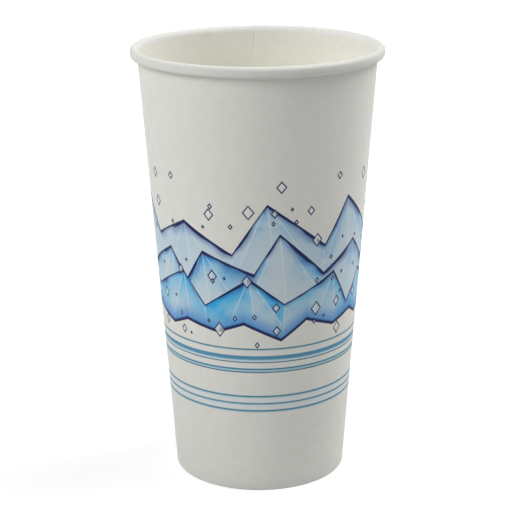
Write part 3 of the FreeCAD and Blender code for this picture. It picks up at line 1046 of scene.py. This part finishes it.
def seen_directly(tree):
    """1 for what the camera sees, also in a gloss or through glass, and 0 for light that
    falls on the object."""
    rays = add(tree, "ShaderNodeLightPath")
    seen = rays.outputs["Is Camera Ray"]
    for kind in ("Is Glossy Ray", "Is Transmission Ray"):
        seen = add(tree, "ShaderNodeMath", {0: seen, 1: rays.outputs[kind]}, operation="MAXIMUM")
    return seen


def floor_material():
    """A matt white studio floor. What the camera sees of it glows, so that it is white
    except in the cup's shadow."""
    material, tree = new_material("matt_white_studio_floor")
    where = add(tree, "ShaderNodeTexCoord")
    away = add(tree, "ShaderNodeVectorMath", {0: where.outputs["Object"]}, operation="LENGTH")
    level = add(
        tree,
        "ShaderNodeMapRange",
        {
            0: away.outputs["Value"],
            1: GLOW_DISTANCES[0],
            2: GLOW_DISTANCES[1],
            3: GLOW_NEAR,
            4: GLOW_FAR,
        },
        interpolation_type="SMOOTHSTEP",
    )
    glow = add(tree, "ShaderNodeMath", {0: seen_directly(tree), 1: level}, operation="MULTIPLY")
    seen = add(tree, "ShaderNodeEmission", {"Color": linear("#ffffff"), "Strength": glow})
    lit = add(tree, "ShaderNodeBsdfDiffuse", {"Color": linear("#cbcbcb")})
    both = add(tree, "ShaderNodeAddShader", {0: lit, 1: seen})
    add(tree, "ShaderNodeOutputMaterial", {"Surface": both})
    return material


def stage_floor():
    """The floor that the cup stands on, as wide as any view of it needs."""
    mesh = bmesh.new()
    bmesh.ops.create_circle(mesh, cap_ends=True, segments=96, radius=FLOOR_RADIUS)
    data = bpy.data.meshes.new("floor")
    mesh.to_mesh(data)
    mesh.free()
    data.materials.append(floor_material())
    floor = bpy.data.objects.new("floor", data)
    bpy.context.scene.collection.objects.link(floor)


def studio_lamps():
    """Soft boxes: one at the left, one high at the right, and two weaker ones to fill."""
    for name, (place, watts) in LAMPS.items():
        data = bpy.data.lights.new(name, "AREA")
        data.shape = "SQUARE"
        data.size = LAMP_SIZE
        data.energy = watts
        lamp = bpy.data.objects.new(name, data)
        lamp.location = place
        lamp.rotation_mode = "QUATERNION"
        lamp.rotation_quaternion = (LAMP_AIM - Vector(place)).to_track_quat("-Z", "Y")
        bpy.context.scene.collection.objects.link(lamp)


def world_light():
    """A faint even light from all round, seen by the camera as plain white."""
    world = bpy.data.worlds.new("studio")
    world.use_nodes = True
    tree = world.node_tree
    tree.nodes.clear()
    level = add(tree, "ShaderNodeMix", {0: seen_directly(tree), 2: WORLD_STRENGTH, 3: 1.0})
    back = add(tree, "ShaderNodeBackground", {"Strength": level})
    add(tree, "ShaderNodeOutputWorld", {"Surface": back})
    bpy.context.scene.world = world


# ----------------------------------------------------------------------------- camera

CAMERA_LENS = 113.65
CAMERA_SENSOR = 36
CAMERA_RANGE = (0.01, 20)
CAMERA_DISTANCE = 596 * MM
CAMERA_HEIGHT_ANGLE = math.radians(17.12)
CAMERA_ROLL = math.radians(-0.357)
AIM_ACROSS = -0.47 * MM
AIM_LEVEL = 78.72 * MM
SEAM_ACROSS = -1.3 * MM


def place_camera():
    """Look at the front from a little above, turned so that the inner raw edge of the
    seam shows just left of the middle."""
    seam_radius = CROWN_RADIUS - WALL_BOARD
    turn = math.asin(SEAM_ACROSS / seam_radius)
    right = Vector((math.cos(turn), math.sin(turn), 0))
    ahead = Vector((-math.sin(turn), math.cos(turn), 0))
    sight = ahead * math.cos(CAMERA_HEIGHT_ANGLE)
    sight.z = -math.sin(CAMERA_HEIGHT_ANGLE)
    above = right.cross(sight)
    tilted_right = right * math.cos(CAMERA_ROLL) + above * math.sin(CAMERA_ROLL)
    tilted_up = above * math.cos(CAMERA_ROLL) - right * math.sin(CAMERA_ROLL)

    data = bpy.data.cameras.new("camera")
    data.lens = CAMERA_LENS
    data.sensor_width = CAMERA_SENSOR
    data.clip_start, data.clip_end = CAMERA_RANGE
    camera = bpy.data.objects.new("camera", data)
    axes = Matrix((tilted_right, tilted_up, -sight)).transposed()
    aim = right * AIM_ACROSS + Vector((0, 0, AIM_LEVEL))
    camera.location = aim - sight * CAMERA_DISTANCE
    camera.rotation_mode = "QUATERNION"
    camera.rotation_quaternion = axes.to_quaternion()
    bpy.context.scene.collection.objects.link(camera)
    bpy.context.scene.camera = camera


film_side = film_coated_board()
raw_edge_and_shade = cut_edge_and_shade_board()
side_wall([printed_board(), film_side, raw_edge_and_shade])
base_disc([plain_board(), film_side, raw_edge_and_shade])
stage_floor()
world_light()
studio_lamps()
place_camera()

bpy.context.scene.view_settings.view_transform = "Standard"
